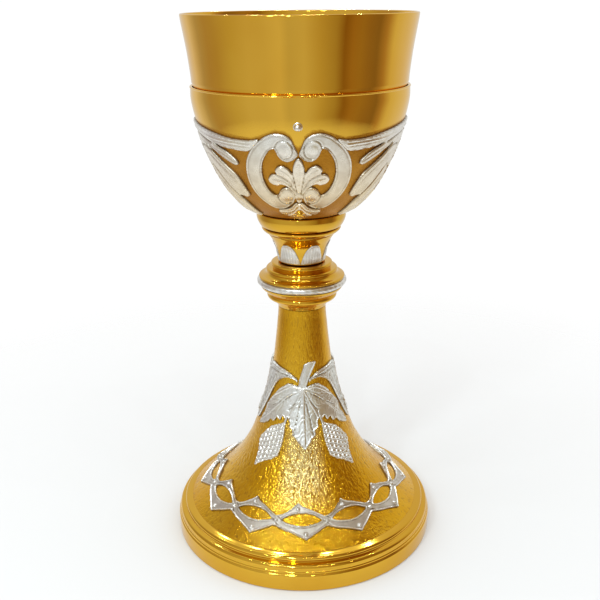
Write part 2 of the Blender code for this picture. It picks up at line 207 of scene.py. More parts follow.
class Patch:
    """A grid over part of a shell, on which an ornament's outline and height are worked out.

    top and foot are distances down the shell's line, and cell is the grid's spacing, in millimetres.
    """

    def __init__(self, shell, low_angle, high_angle, top, foot, cell):
        self.shell = shell
        radius = float(shell.radius((top + foot) / 2))
        step = math.degrees(cell / radius)
        self.angle = np.linspace(low_angle, high_angle, int((high_angle - low_angle) / step) + 2)
        self.s = np.linspace(top, foot, int((foot - top) / cell) + 2)
        self.rows, self.columns = len(self.s), len(self.angle)
        self.scale = np.radians(1.0) * shell.radius(self.s)     # mm per degree on each row
        self.A, self.S = np.meshgrid(self.angle, self.s)

    @classmethod
    def between(cls, shell, low_angle, high_angle, top, foot, cell):
        """A patch between two heights of the shell."""
        return cls(shell, low_angle, high_angle, shell.at_height(top), shell.at_height(foot), cell)

    def narrowed(self, columns):
        """The same patch with only some of its columns."""
        part = object.__new__(Patch)
        part.shell, part.s, part.rows, part.scale = self.shell, self.s, self.rows, self.scale
        part.angle, part.columns = self.angle[columns], int(columns.sum())
        part.A, part.S = self.A[:, columns], self.S[:, columns]
        return part

    def line(self, points):
        """Outline points (angle, height) on this patch's own (angle, distance) plane."""
        points = np.asarray(points, float)
        return np.column_stack([points[:, 0], self.shell.at_height(points[:, 1])])

    def nearest(self, line, closed=False):
        """Distance in mm to a line, and how far along it the nearest place is."""
        line = np.asarray(line, float)
        start = line if closed else line[:-1]
        stop = np.roll(line, -1, axis=0) if closed else line[1:]
        scale = float(np.mean(self.scale))
        lengths = np.hypot((stop - start)[:, 0] * scale, (stop - start)[:, 1])
        before = np.concatenate([[0], np.cumsum(lengths)[:-1]])
        distance = np.empty(self.A.shape)
        along = np.empty(self.A.shape)
        for row in range(self.rows):
            k = self.scale[row]
            ax, ay = start[:, 0] * k, start[:, 1]
            bx, by = stop[:, 0] * k - ax, stop[:, 1] - ay
            px = self.angle[:, None] * k - ax
            py = self.s[row] - ay
            t = np.clip((px * bx + py * by) / np.maximum(bx * bx + by * by, 1e-12), 0, 1)
            gap = np.hypot(px - t * bx, py - t * by)
            best = gap.argmin(1)
            pick = np.arange(self.columns)
            distance[row] = gap[pick, best]
            along[row] = before[best] + t[pick, best] * lengths[best]
        return distance, along

    def depth(self, loop):
        """Distance inside the closed outline in mm, negative outside."""
        inside = np.zeros(self.A.shape, bool)
        for (x0, y0), (x1, y1) in zip(loop, np.roll(loop, -1, axis=0)):
            if y0 == y1:
                continue
            rows = (self.s > min(y0, y1)) & (self.s <= max(y0, y1))
            cross = x0 + (self.s[rows] - y0) * (x1 - x0) / (y1 - y0)
            inside[rows] ^= self.angle[None, :] < cross[:, None]
        distance = self.nearest(loop, True)[0]
        return np.where(inside, distance, -distance)

    def cut(self, outline, per_span=6):
        """Depth inside the smooth closed line through points (angle, height)."""
        return self.depth(closed_spline(self.line(outline), per_span))

    def near(self, points, count):
        """Distance to the smooth open line through points (angle, height), and how far along it."""
        return self.nearest(spline(self.line(points), count))

    def height_above(self, level):
        """True where the shell is higher than a level."""
        return self.shell.height(self.S) > level

    def disc(self, angle, height, radius):
        """Depth inside a round boss."""
        s = float(self.shell.at_height(height))
        across = (self.A - angle) * self.scale[:, None]
        return radius - np.hypot(across, self.S - s)


def bump(value, width):
    """A smooth ridge: 1 where value is 0, fading out over width."""
    return np.exp(-(value / width) ** 2)


def rise(value, width):
    """A rounded step: 0 at 0, 1 from width on."""
    t = np.clip(value / width, 0, 1)
    return np.sqrt(t * (2 - t))


def dome(depth, radius):
    """Height of a round boss of that radius, from its depth field."""
    from_centre = np.clip(1 - depth / radius, 0, 1)
    return np.sqrt(1 - from_centre ** 2)


def relief(node_name, patch, depth, height, silver, turn, flip=False, levels=RELIEF_LEVELS):
    """Cuts the patch along depth = 0 and raises it: a closed sheet with a shaped top.

    It stands for the CAD node of that name, turned about the axis and mirrored where flip is set.
    """
    depth = np.where(np.abs(depth) < 0.04, -0.04, depth)
    inside = depth > 0
    ids = np.full(depth.shape, -1)
    ids[inside] = np.arange(inside.sum())
    angle, s, top = [patch.A[inside]], [patch.S[inside]], [height[inside]]
    total = int(inside.sum())
    crossings = []
    for axis in (0, 1):
        ahead = np.roll(inside, -1, axis) != inside
        if axis == 0:
            ahead[-1] = False
        else:
            ahead[:, -1] = False
        i, j = np.nonzero(ahead)
        i2, j2 = (i + 1, j) if axis == 0 else (i, j + 1)
        d0, d1 = depth[i, j], depth[i2, j2]
        t = d0 / (d0 - d1)
        angle.append(patch.A[i, j] * (1 - t) + patch.A[i2, j2] * t)
        s.append(patch.S[i, j] * (1 - t) + patch.S[i2, j2] * t)
        within = np.where(d0 > 0, height[i, j], height[i2, j2])
        top.append(np.minimum(within, height[i, j] * (1 - t) + height[i2, j2] * t))
        table = np.full(depth.shape, -1)
        table[i, j] = total + np.arange(len(i))
        crossings.append(table)
        total += len(i)
    down, across = crossings
    angle, s, top = np.concatenate(angle), np.concatenate(s), np.concatenate(top)
    full = inside[:-1, :-1] & inside[1:, :-1] & inside[1:, 1:] & inside[:-1, 1:]
    mixed = (inside[:-1, :-1] | inside[1:, :-1] | inside[1:, 1:] | inside[:-1, 1:]) & ~full
    i, j = np.nonzero(full)
    faces = np.stack([ids[i, j], ids[i + 1, j], ids[i + 1, j + 1], ids[i, j + 1]], -1).tolist()
    walls = []
    for i, j in zip(*np.nonzero(mixed)):
        corners = ((i, j), (i + 1, j), (i + 1, j + 1), (i, j + 1))
        edges = (down[i, j], across[i + 1, j], down[i, j + 1], across[i, j])
        face, cuts = [], []
        for corner, edge in zip(corners, edges):
            if inside[corner]:
                face.append(int(ids[corner]))
            if edge >= 0:
                cuts.append(len(face))
                face.append(int(edge))
        faces.append(face)
        for k in cuts:
            following = (k + 1) % len(face)
            if following in cuts:
                walls.append((face[k], face[following]))
    bottom = [[v + total for v in reversed(face)] for face in faces]
    sides = [[b, a, a + total, b + total] for a, b in walls]
    top = np.concatenate([top, np.full(total, RELIEF_FOOT)])
    angle, s = np.tile(angle, 2), np.tile(s, 2)
    faces = faces + bottom + sides
    if flip:
        angle = -angle
        faces = [face[::-1] for face in faces]
    points = patch.shell.points(angle + turn, s, top)
    level = np.clip((top - levels[0]) / (levels[1] - levels[0]), 0, 1)
    return piece(node_name + "_relief", points, faces, silver, [node_name], 50.0,
                 {"raised": level})


# ---------------------------------------------------------------- materials

def plug(tree, socket, value):
    """Gives an input a value, or a link from another node's output."""
    if isinstance(value, bpy.types.NodeSocket):
        tree.links.new(value, socket)
    elif socket.type == "RGBA":
        socket.default_value = (*value, 1)
    else:
        socket.default_value = value


def node(tree, kind, *feeds, **values):
    """A node. Its settings and named inputs come from values, its first inputs from feeds."""
    made = tree.nodes.new("ShaderNode" + kind)
    for key, value in values.items():
        if key not in made.inputs:
            setattr(made, key, value)
    for key, value in values.items():
        if key in made.inputs:
            plug(tree, made.inputs[key], value)
    for socket, value in zip(made.inputs, feeds):
        plug(tree, socket, value)
    return made


def maths(tree, operation, *feeds):
    return node(tree, "Math", *feeds, operation=operation).outputs[0]


def product(tree, first, *others):
    """Values multiplied together."""
    for other in others:
        first = maths(tree, "MULTIPLY", first, other)
    return first


def vector_maths(tree, operation, *feeds, **values):
    made = node(tree, "VectorMath", *feeds, operation=operation, **values)
    return made.outputs["Value" if operation == "LENGTH" else "Vector"]


def own_place(tree):
    """Places in the chalice's own coordinates, in metres."""
    return node(tree, "TexCoord").outputs["Object"]


def along(tree, axis, vector):
    """One coordinate of a vector."""
    return node(tree, "SeparateXYZ", vector).outputs[axis]


def grain(tree, scale, stretch=(1, 1, 1), detail=3):
    """Noise in the chalice's own coordinates. scale is per metre, stretch squeezes the axes."""
    place = node(tree, "Mapping", Vector=own_place(tree), Scale=stretch).outputs["Vector"]
    return node(tree, "TexNoise", Vector=place, Scale=scale, Detail=detail).outputs["Fac"]


def ranged(tree, value, low, high, to_low=0, to_high=1):
    """A value taken from one range to another."""
    return node(tree, "MapRange", value, low, high, to_low, to_high).outputs["Result"]


def clouds(tree, scale, stretch=(1, 1, 1)):
    """Soft patches from 0 to 1."""
    return ranged(tree, grain(tree, scale, stretch), 0.35, 0.65)


def blended(tree, factor, first, second, kind="MIX"):
    """A colour between two. Each is a colour or another node's output."""
    made = node(tree, "Mix", factor, data_type="RGBA", blend_type=kind)
    plug(tree, made.inputs[6], first)
    plug(tree, made.inputs[7], second)
    return made.outputs[2]


def raised_by(tree, value, distance, **under):
    """A normal bent by a height, on top of another Normal where one is given."""
    return node(tree, "Bump", Height=value, Strength=1, Distance=distance, **under).outputs["Normal"]


def attribute(tree, name):
    return node(tree, "Attribute", attribute_name=name).outputs["Fac"]


def shaded(name, metallic=1):
    """A material, its node tree and its shader."""
    made = bpy.data.materials.new(name)
    made.use_nodes = True
    shader = made.node_tree.nodes["Principled BSDF"]
    shader.inputs["Metallic"].default_value = metallic
    return made, made.node_tree, shader


def dress(tree, shader, colour, roughness, normal):
    for key, value in (("Base Color", colour), ("Roughness", roughness), ("Normal", normal)):
        plug(tree, shader.inputs[key], value)


GOLD = (0.86, 0.50, 0.06)
# Gilding of the cast pieces: rougher, and painted darker than GOLD as painted shade for the dim floor
# reflection round the foot
CAST_SHADED_GOLD = (0.76, 0.44, 0.045)
MATT_GOLD = ((0.60, 0.285, 0.032), (0.46, 0.20, 0.02))
STEM_GOLD = ((0.86, 0.50, 0.035), (0.76, 0.39, 0.012))
# Paler gold painted on the front and back of the stem's flare: a painted highlight
PAINTED_HIGHLIGHT_GOLD = (0.90, 0.74, 0.34)
# Darker gold painted into the hollows of the stem's chasing: painted shade
HOLLOW_SHADE_GOLD = (0.62, 0.33, 0.03)


def polished_gold(name, tint=GOLD, rough=(0.045, 0.11), lines=0.000003):
    """Mirror gilding over brass: faint polishing rings, smudges and a slow change of colour."""
    made, tree, shader = shaded(name)
    deep = tuple(channel * factor for channel, factor in zip(tint, (0.95, 0.90, 0.80)))
    smudge = grain(tree, 90, (1, 1, 0.5), 5)
    rings = grain(tree, 2600, (0.02, 0.02, 1), 2)
    dress(tree, shader, blended(tree, clouds(tree, 28), tint, deep),
          ranged(tree, smudge, 0.35, 0.7, *rough), raised_by(tree, rings, lines))
    return made


def calyx_gold(name):
    """Polished above the ornaments and matted between them, where the gilding is deeper."""
    made, tree, shader = shaded(name)
    ground = attribute(tree, "ground")
    matt = blended(tree, clouds(tree, 60), *MATT_GOLD)
    smudge = grain(tree, 90, (1, 1, 0.5), 5)
    mixed = node(tree, "Mix", ground)
    plug(tree, mixed.inputs[2], ranged(tree, smudge, 0.35, 0.7, 0.05, 0.11))
    plug(tree, mixed.inputs[3], 0.42)
    stipple = product(tree, grain(tree, 1500, detail=2), ground)
    hammered = raised_by(tree, grain(tree, 45, (1, 1, 0.4), 1), 0.0007)
    dress(tree, shader, blended(tree, ground, GOLD, matt), mixed.outputs[0],
          raised_by(tree, stipple, 0.00022, Normal=hammered))
    return made


def chased_gold(name):
    """The stem's gilding, struck all over with short strokes that run down it.

    The strokes follow the stem: noise on (unit circle round the axis, distance down the flare).
    The gilding is painted paler on the front and back of the flare: a painted highlight.
    """
    made, tree, shader = shaded(name)
    where = own_place(tree)
    flat = vector_maths(tree, "MULTIPLY", where, (1, 1, 0))
    radius = vector_maths(tree, "LENGTH", flat)
    circle = vector_maths(tree, "NORMALIZE", flat)
    down = maths(tree, "SUBTRACT", radius, along(tree, "Z", where))
    sideways = along(tree, "X", circle)
    squared = product(tree, sideways, sideways)
    neck = ranged(tree, radius, 0.012, 0.022, 0.25, 1)
    front = ranged(tree, squared, 0.10, 0.45, 1, 0.42)
    flare = ranged(tree, radius, 0.030, 0.044, 1, 0.30)
    dome_part = ranged(tree, radius, 0.020, 0.042, 0.20, 1)
    strokes = []
    for across, length, detail, share in ((27, 340, 2, flare), (60, 620, 1, dome_part)):
        wide = vector_maths(tree, "SCALE", circle, Scale=across)
        lift = node(tree, "CombineXYZ", Z=product(tree, down, length)).outputs["Vector"]
        place = vector_maths(tree, "ADD", wide, lift)
        noise = node(tree, "TexNoise", Vector=place, Scale=1, Detail=detail).outputs["Fac"]
        strokes.append((noise, product(tree, noise, neck, front, share)))
    (coarse, coarse_lift), (fine, fine_lift) = strokes
    # Painted highlight: paler gold on the front and back of the flare, broken up by the fine strokes
    painted_highlight = product(tree, ranged(tree, fine, 0.36, 0.60, 0.35, 1), ranged(tree, squared, 0.02, 0.16, 1, 0),
                   ranged(tree, radius, 0.016, 0.023, 0, 1), ranged(tree, radius, 0.030, 0.042, 1, 0))
    tone = blended(tree, clouds(tree, 45, (1, 1, 0.4)), *STEM_GOLD)
    tone = blended(tree, painted_highlight, tone, PAINTED_HIGHLIGHT_GOLD)
    # Painted shade: darker gold where the coarse strokes sink lowest
    hollow_shade = ranged(tree, coarse, 0.28, 0.46)
    deep = raised_by(tree, coarse_lift, 0.00105)
    dress(tree, shader, blended(tree, hollow_shade, HOLLOW_SHADE_GOLD, tone),
          ranged(tree, fine, 0.35, 0.7, 0.12, 0.24), raised_by(tree, fine_lift, 0.00034, Normal=deep))
    return made


BRIGHT_SILVER = ((0.92, 0.90, 0.86), (0.82, 0.79, 0.74))
PLAIN_SILVER = ((0.71, 0.69, 0.65), (0.60, 0.57, 0.52))
VINE_SILVER = ((0.86, 0.87, 0.84), (0.70, 0.69, 0.65))
BRAID_SILVER = ((0.66, 0.60, 0.52), (0.52, 0.45, 0.37))
TARNISH = (0.26, 0.20, 0.12)
# Values of the raised attribute: tarnish gives way to silver, then plain silver to bright silver
RECESSES = (0.05, 0.45)
HIGH_PLACES = (0.45, 0.95)
# Painted reflection on the calyx silver: (height without, height with, yellow tint of the gold below)
CALYX_GOLD_REFLECTION = (196, 168, (0.94, 0.80, 0.58))     # see warm in satin_silver
STEEL = ((0.50, 0.49, 0.47), (0.36, 0.35, 0.33))


def satin_silver(name, striped=False, plain_pair=PLAIN_SILVER, painted_reflection=None):
    """Cast silver, brushed bright on the high places and dulled in the recesses.

    The last argument is (height without, height with, tint): a painted reflection, a yellow tint of the gold
    below that grows between two heights.
    """
    made, tree, shader = shaded(name)
    raised = attribute(tree, "raised")
    cloud = grain(tree, 320, detail=4)
    patches = ranged(tree, cloud, 0.35, 0.65)
    upper = blended(tree, ranged(tree, raised, *HIGH_PLACES), blended(tree, patches, *plain_pair),
                    blended(tree, patches, *BRIGHT_SILVER))
    colour = blended(tree, ranged(tree, raised, *RECESSES), TARNISH, upper)
    # Painted reflection: the silver is tinted yellow towards the bottom of the calyx, where it mirrors the
    # gold below
    if painted_reflection:
        without, full, tint = painted_reflection
        height = along(tree, "Z", own_place(tree))
        colour = blended(tree, ranged(tree, height, full * MM, without * MM, 1, 0), colour, tint, "MULTIPLY")
    shine = maths(tree, "ADD", ranged(tree, cloud, 0.35, 0.7, -0.04, 0.06),
                  ranged(tree, raised, 0.50, 1, 0.37, 0.26))
    tooth = grain(tree, 2200, (1, 1, 0.3) if striped else (1, 1, 1), 2)
    dress(tree, shader, colour, shine, raised_by(tree, tooth, 0.00004))
    return made


def plain_steel(name):
    """Drawn and turned steel, with fine tool lines."""
    made, tree, shader = shaded(name)
    cloud = grain(tree, 200, detail=4)
    lines = grain(tree, 3000, (0.05, 0.05, 1), 2)
    tone = blended(tree, ranged(tree, cloud, 0.35, 0.65), *STEEL)
    dress(tree, shader, tone, ranged(tree, cloud, 0.35, 0.7, 0.28, 0.45), raised_by(tree, lines, 0.00003))
    return made


# ---------------------------------------------------------------- the cup and the calyx

CALYX_LINE = spline([(46.5, SEAM_Z), (46.45, 206), (45.35, 200), (43.6, 194), (41.6, 188),
                     (38.2, 180), (33, 170), (26.7, 162), (21.3, 158), (19.4, 156.95)], 120)
CALYX = Shell(CALYX_LINE)


def moved(line, distance):
    """The line shifted to its inner side by a distance."""
    along = np.gradient(line, axis=0)
    along /= np.hypot(*along.T)[:, None]
    return np.column_stack([line[:, 0] + along[:, 1] * distance, line[:, 1] - along[:, 0] * distance])


def make_cup(gold):
    lip = arc((49, 239.5), 0.5, 180, 0)
    outside = spline([(49.5, 239.3), (49.1, 236.5), (48.25, 231.5), (47.3, 225.5), (46.6, 220),
                      (46.1, 215.5), (45.9, 212.8)], 60)
    outside[:, 0] = np.minimum(outside[:, 0], 49.48)
    inner_calyx = moved(CALYX_LINE, 1.6)
    lower = inner_calyx[(inner_calyx[:, 1] > 164) & (inner_calyx[:, 1] < 211)]
    under = spline([lower[-1] + (-1.4, -0.9), (18, 162.9), (10.5, 162.5), (0.4, 162.45)], 18)
    inner = moved(joined(outside, lower, under), 0.95)[::-1]
    inner = inner[(inner[:, 1] < 239.2) & (inner[:, 0] > 0.3)]
    inner[:, 0] = np.minimum(inner[:, 0], 48.52)
    line = joined(inner[::2], lip, outside, lower[::5], under)   # the hidden stretch is coarser
    turned("cup_polished", line, gold, ["cup"], FINE, closed=False)


GROUND_EDGE = [(0, 191), (1.7, 192), (3.6, 195.6), (7, 197.4), (11.3, 197.8), (19.5, 195.4),
               (24.6, 194.2), (40, 194.9), (51, 196.2), (62, 197.2), (76, 198.4), (90, 199)]


def ground_mask(turns, index):
    """1 on the matted ground under the ornaments' upper edge, 0 on the polished gold."""
    height = CALYX_LINE[np.minimum(index, len(CALYX_LINE) - 1), 1]
    away = np.abs((turns - CALYX_TURN + 90) % 180.0 - 90)
    edge = np.interp(away, *np.array(GROUND_EDGE).T)
    return np.where(index < len(CALYX_LINE), np.clip((edge - height) / 0.9 + 0.5, 0, 1), 0)


def make_calyx(gold):
    """The shell in which the cup sits. A narrow rolled edge closes its seam."""
    inner = moved(CALYX_LINE, 1.05)[::-1]
    inner = inner[(inner[:, 1] > 157.9) & (inner[:, 1] < 210.6)][::4]
    floor = [(19, 156.9), (18.4, 156.9), (3.4, 156.9), (3.4, 158), (inner[0, 0] - 0.8, 158)]
    edge = arc((46.15, 210.65), 0.62, 175, 12, 10)
    outer = CALYX_LINE[CALYX_LINE[:, 1] < 210.6]
    line = joined(outer, floor, inner, edge)
    shift = len(CALYX_LINE) - len(outer)

    def mask(turns, index):
        return ground_mask(turns, np.where(index < len(outer), index + shift, 10 ** 6))
    turned("calyx_shell", line, gold, ["calyx"], 480, attributes={"ground": mask})


# ---------------------------------------------------------------- ornaments of the calyx

SCROLL = [(1.4, 190.8), (3.4, 194.4), (7, 196.4), (11.3, 196.9), (15.6, 196.1), (19.5, 194.3), (26, 190),
          (31.2, 184), (33.4, 177), (31.8, 171.6), (27, 167.2), (19.9, 164.4), (11.5, 164.4),
          (4.9, 166.9), (2.6, 169.6), (3, 172), (5.6, 173.8), (9, 174.2), (12.2, 173), (14.4, 170.9),
          (16.6, 170.6), (20.4, 173.2), (22.3, 178.5), (20.6, 184.4), (16.8, 188.8), (13.8, 190.6),
          (12.2, 190.2), (11.4, 188.4), (9.4, 186.4), (6.4, 185.4), (3.4, 186), (1.2, 187.2),
          (0.3, 188.2), (0.4, 189.2)]
UPPER_EYE = (7.5, 190.3, 2.5)
LOWER_EYE = (8.3, 170.4, 2.75)
UPPER_CURL = [(12.6, 190.6), (11.2, 193), (8.4, 194.1), (5.2, 193.5), (3.1, 191.2), (3.3, 188.8),
              (5, 187.1), (7.4, 186.7)]
LOWER_CURL = [(15.2, 170.2), (13.6, 167.8), (9.4, 166.5), (5.6, 167.4)]


def scroll_relief():
    """A flat rimmed band that curls round a low boss at each end."""
    patch = Patch.between(CALYX, -0.5, 35.5, 198.5, 162.5, 0.3)
    depth = patch.cut(SCROLL)
    height = plate(depth) + 0.10 * rise(depth, 2.4)
    for curl in (UPPER_CURL, LOWER_CURL):
        away = patch.near(curl, 40)[0]
        height += 0.12 * bump(away - 0.5, 0.28) - 0.34 * bump(away, 0.28)
    for angle, level, radius in (UPPER_EYE, LOWER_EYE):
        eye = patch.disc(angle, level, radius)
        depth = np.maximum(depth, eye)
        height = np.where(eye > 0, np.maximum(0.66 + 0.42 * dome(eye, radius), height * (eye < 0.3)), height)
    return patch, depth, np.maximum(height, 0.36)


PALMETTE = [(0, 187), (1.8, 185.8), (3.3, 183), (3.7, 180.6), (5.8, 182.4), (8.6, 183.6), (11.4, 183.5),
            (13.9, 181.8), (13.3, 180.2), (16.6, 179.8), (19, 177.8), (17.4, 175.9), (13.4, 175.2),
            (10.4, 175.6), (6.6, 174.2), (3.2, 171.6), (2.3, 168.6), (0, 167)]
PALMETTE_VEINS = [[(0, 176), (0, 184.4)], [(3.4, 176), (6.4, 179.8), (10.4, 181.8)], [(5.4, 174.6),
                  (10, 177.2), (15.6, 177.9)]]
PALMETTE_VALLEYS = [[(1.2, 171), (2.4, 176), (3.7, 181)], [(2.6, 173), (6.8, 177.4), (13, 180)],
                    [(1.2, 171), (1.6, 168.4)]]


def opposite(line):
    """The mirror image of a line, run the other way."""
    return [(-angle, height) for angle, height in reversed(line)]


def mirrored(half):
    """A closed outline from its right half, which starts and ends on the centre line."""
    return half + opposite(half[1:-1])


def both(lines):
    """Lines of the right half and their mirror images."""
    return lines + [[(-angle, height) for angle, height in line] for line in lines]


def plate(depth, rim=0.20, groove=0.22):
    """Height of a flat plate whose edge is rolled up into a thin rim with a groove inside it."""
    edge = rim * bump(depth - 0.42, 0.24)
    return 0.42 + 0.34 * rise(depth, 0.35) + edge - groove * bump(depth - 0.86, 0.22)


def leafy(patch, depth, veins, valleys, crown=0.5, pillow=1.3, feather=0, pitch=1.5, edge=0.16, gap=0):
    """Height of a leaf: pillows between the valleys, ribs along the veins, fine side ribs."""
    fold = depth.copy()
    for valley in valleys:
        away = patch.near(valley, 24)[0]
        fold = np.minimum(fold, np.maximum(away - gap, 0))
    height = 0.36 + 0.26 * rise(fold, 0.45) + crown * rise(fold, pillow) + edge * bump(depth - 0.38, 0.24)
    rib = np.full(depth.shape, 1e9)
    run = np.zeros(depth.shape)
    for vein in veins:
        away, along = patch.near(vein, 24)
        closer = away < rib
        rib = np.where(closer, away, rib)
        run = np.where(closer, along, run)
    height += 0.20 * bump(rib, 0.26) - 0.10 * bump(rib - 0.62, 0.24)
    if feather:
        waver = 0.35 * np.sin(run * 0.9 + patch.A * 0.13) + 0.25 * np.sin(rib * 2.3 + patch.A * 0.21)
        phase = ((run - 1.1 * rib) / pitch + waver) % 1.0 - 0.5
        height += feather * (bump(phase, 0.2) - 0.5) * rise(np.minimum(depth, rib), 0.9)
    return np.maximum(height, 0.36)


def palmette_relief():
    patch = Patch.between(CALYX, -20.5, 20.5, 188, 165.5, 0.3)
    depth = patch.cut(mirrored(PALMETTE))
    height = leafy(patch, depth, both(PALMETTE_VEINS), both(PALMETTE_VALLEYS), 0.46, 1.5)
    hub = patch.disc(0, 170.6, 2)
    height = np.where(hub > 0, np.maximum(height, 0.7 + 0.9 * dome(hub, 2)), height)
    return patch, depth, height


DROP = [(0, 166.8), (3.2, 166.9), (7, 164.9), (12, 163.9), (17.6, 163.4), (15.6, 161.4), (11.6, 160.9),
        (9.6, 160.6), (6.8, 159.5), (3.6, 159), (0, 158.3)]
DROP_VEINS = [[(1.6, 165.8), (6, 163.4), (16.8, 162.8)], [(1.6, 164), (5.4, 161.8), (9.8, 161)],
              [(0, 166.4), (0, 158.8)]]


def drop_relief():
    patch = Patch.between(CALYX, -20, 20, 168, 157.6, 0.26)
    depth = patch.cut(mirrored(DROP))
    return patch, depth, leafy(patch, depth, both(DROP_VEINS), [], 0.42, 1.1)


ACANTHUS = [(-90, 198), (-76, 197.4), (-62, 196.2), (-51, 195.2), (-40, 194), (-29, 193.6),
            (-20.6, 194.2), (-23.4, 191.4), (-27.4, 189.3), (-34, 189.2), (-45, 189.8), (-52, 190.9),
            (-51, 189.9), (-44, 188), (-38.6, 185.4), (-37, 183.4), (-39, 182.6), (-42, 183.2),
            (-50, 185.8), (-62, 190), (-62.6, 188.8), (-58, 185.6), (-49, 181.4), (-42.5, 177.6),
            (-39, 172.6), (-38.5, 169.2), (-41, 168.4), (-45.8, 168.6), (-50.4, 168.2), (-50, 166.8),
            (-46, 163.6), (-43, 159.6), (-46, 158.9), (-66, 158.8), (-90, 158.8)]
ACANTHUS_VEINS = [[(-90, 195.6), (-70, 194.8), (-50, 192.8), (-26, 191.9)], [(-83, 178), (-81, 186),
                  (-76, 190.4), (-66, 190.4), (-50, 187.4), (-38.4, 183.6)], [(-84, 168), (-81, 178),
                  (-74, 184.6), (-64, 184.8), (-52, 179.6), (-44, 174.6), (-39.8, 169.8)], [(-84, 161),
                  (-81, 169), (-75, 174.2), (-66, 173.2), (-54, 166.8), (-45, 160.2)], [(-80, 159.6),
                  (-76, 163.2), (-70, 163.2), (-64, 160.2)]]
ACANTHUS_VALLEYS = [[(-88, 193.6), (-76, 193.2), (-66, 192.2), (-56, 190.6)], [(-82, 176), (-80, 184),
                    (-75, 187.8), (-65, 188), (-56, 185.6)], [(-82, 165), (-79, 174), (-73, 179.4),
                    (-66, 178.6), (-58, 172.4), (-50, 167.4)], [(-81, 159.6), (-78, 165), (-73, 168.2),
                    (-67, 166), (-60, 160.6)]]
# (angle, height, radius) of the pierced eyes where the strands part, in degrees from the panel's middle
ACANTHUS_EYES = [(12, 188.4, 0.9), (13.6, 178, 1), (14.6, 167.2, 0.9)]
SPINE_LEAF = [(0, 193.4), (2.4, 190), (5.4, 185), (7.4, 180.4), (7, 177.4), (9.4, 174.4), (9, 170.6),
              (10.8, 167.4), (9.4, 163.4), (5.4, 160.2), (0, 159.3)]


def acanthus_relief():
    """Drawn as the rising side from the front, mirrored about the middle of the panel."""
    shift = [[(angle + 90, height) for angle, height in line]
             for line in (ACANTHUS, *ACANTHUS_VEINS, *ACANTHUS_VALLEYS)]
    outline, veins, valleys = shift[0], shift[1:6], shift[6:]
    patch = Patch.between(CALYX, -70.5, 70.5, 199.5, 157.9, 0.33)
    depth = patch.cut(mirrored(outline))
    for angle, level, radius in ACANTHUS_EYES:
        for side in (-1, 1):
            depth = np.minimum(depth, -patch.disc(side * angle, level, radius))
    strands = leafy(patch, depth, both(veins), both(valleys), 0.50, 1.7, 0.04, 2.6, 0.2, 0.3)
    spine = patch.cut(mirrored(SPINE_LEAF))
    leaf = 0.3 + leafy(patch, spine, [[(0, 160.2), (0, 192.6)]], [], 0.5, 2.2, 0.12, 2.8, 0.3)
    strands = np.maximum(strands - 0.6 * bump(spine, 0.5), 0.36)
    return patch, depth, np.where(spine > 0, leaf, strands)


def make_calyx_ornaments(silver, gold):
    scroll, palmette, drop = scroll_relief(), palmette_relief(), drop_relief()
    for side, turn in SIDES:
        place = turn + CALYX_TURN
        for hand, flip in (("right", False), ("left", True)):
            relief(f"scroll_{side}_{hand}", *scroll, silver, place, flip)
        relief(f"palmette_{side}", *palmette, silver, place)
        relief(f"drop_{side}", *drop, silver, place)
        make_pearl(f"pearl_{side}", place, 199.4, 1.5, silver, [f"pearl_{side}"])
        make_pearl(f"drop_bead_{side}", place, 162.4, 1.5, gold, [], 1)
    panel = acanthus_relief()
    for hand, turn in (("right", 90), ("left", -90)):
        relief(f"acanthus_{hand}", *panel, silver, turn + CALYX_TURN)


def make_pearl(name, angle, height, radius, metal, nodes, lift=0.35):
    """A round-headed stud on a small collar."""
    line = joined(arc((0, 0.35), radius, 88, 0, 12), [(radius, 0.1), (radius + 0.35, -0.15),
                                                       (radius + 0.35, -0.45), (0.05, -0.45)])
    stud = turned(name + "_stud", line, metal, nodes, 40, closed=False,
                  attributes={"raised": lambda turns, index: np.ones(turns.shape)})
    s = float(CALYX.at_height(height))
    place = CALYX.points(np.array(angle), np.array(s), np.array(lift))
    tilt = math.atan2(np.interp(s, CALYX.s, CALYX.out_r), np.interp(s, CALYX.s, CALYX.out_z))
    pose = Matrix.Translation(Vector(place)) @ Matrix.Rotation(math.radians(angle), 4, "Z")
    stud.data.transform(pose @ Matrix.Rotation(tilt, 4, "X"))


# ---------------------------------------------------------------- collar, capital and knop

CAPITAL_LINE = joined(spline([(17.3, 149.4), (17.75, 149), (17.3, 148.1), (16.3, 147.25),
                              (15.2, 146.75)], 14),
                      [(14.9, 146.55), (14.95, 146.2)],
                      spline([(14.7, 145.9), (13.5, 144), (12.3, 142), (11.4, 139.6), (10.9, 137),
                              (10.5, 135.2), (10.4, 133.6)], 40))


def make_collar(gold):
    side = joined([(18.6, 156.75)], arc((19.1, 155.9), 0.7, 75, -5, 6),
                  spline([(19.85, 155.6), (19.95, 154.4), (19.55, 152.8), (18.8, 151.2), (18.1, 150.2)], 20),
                  [(17.4, 150), (17.2, 149.75), (5, 149.75), (5, 156.75)])
    turned("cup_collar_turned", side, gold, ["cup_collar"])


def make_capital(gold, silver):
    line = joined([(5, 149.45), (17.2, 149.45)], CAPITAL_LINE, [(5, 133.4)])
    turned("capital_turned", line, gold, ["capital"])
    shell = Shell(CAPITAL_LINE)
    half = [(0, 143), (7, 142.7), (14, 141.4), (20, 139.4), (25, 137), (28.4, 134.8),
            (28.6, 133.9), (14, 133.9), (0, 133.9)]
    patch = Patch.between(shell, -31, 31, 144.2, 133.62, 0.2)
    depth = patch.cut(mirrored(half), 5)
    streaks = 0.05 * np.sin(patch.A * 1.7 + 0.6 * np.sin(patch.S * 1.3)) + 0.04 * np.sin(patch.A * 0.93 + 1)
    height = 0.16 + 0.16 * rise(depth, 0.6) + 0.10 * bump(depth - 0.36, 0.2) + streaks * rise(depth, 0.8)
    for i in range(6):
        turn = (i + 0.5) * 60.0 + PETAL_TURN
        relief(f"petal_{i + 1}", patch, depth, height, silver, turn, levels=(0.05, 0.42))


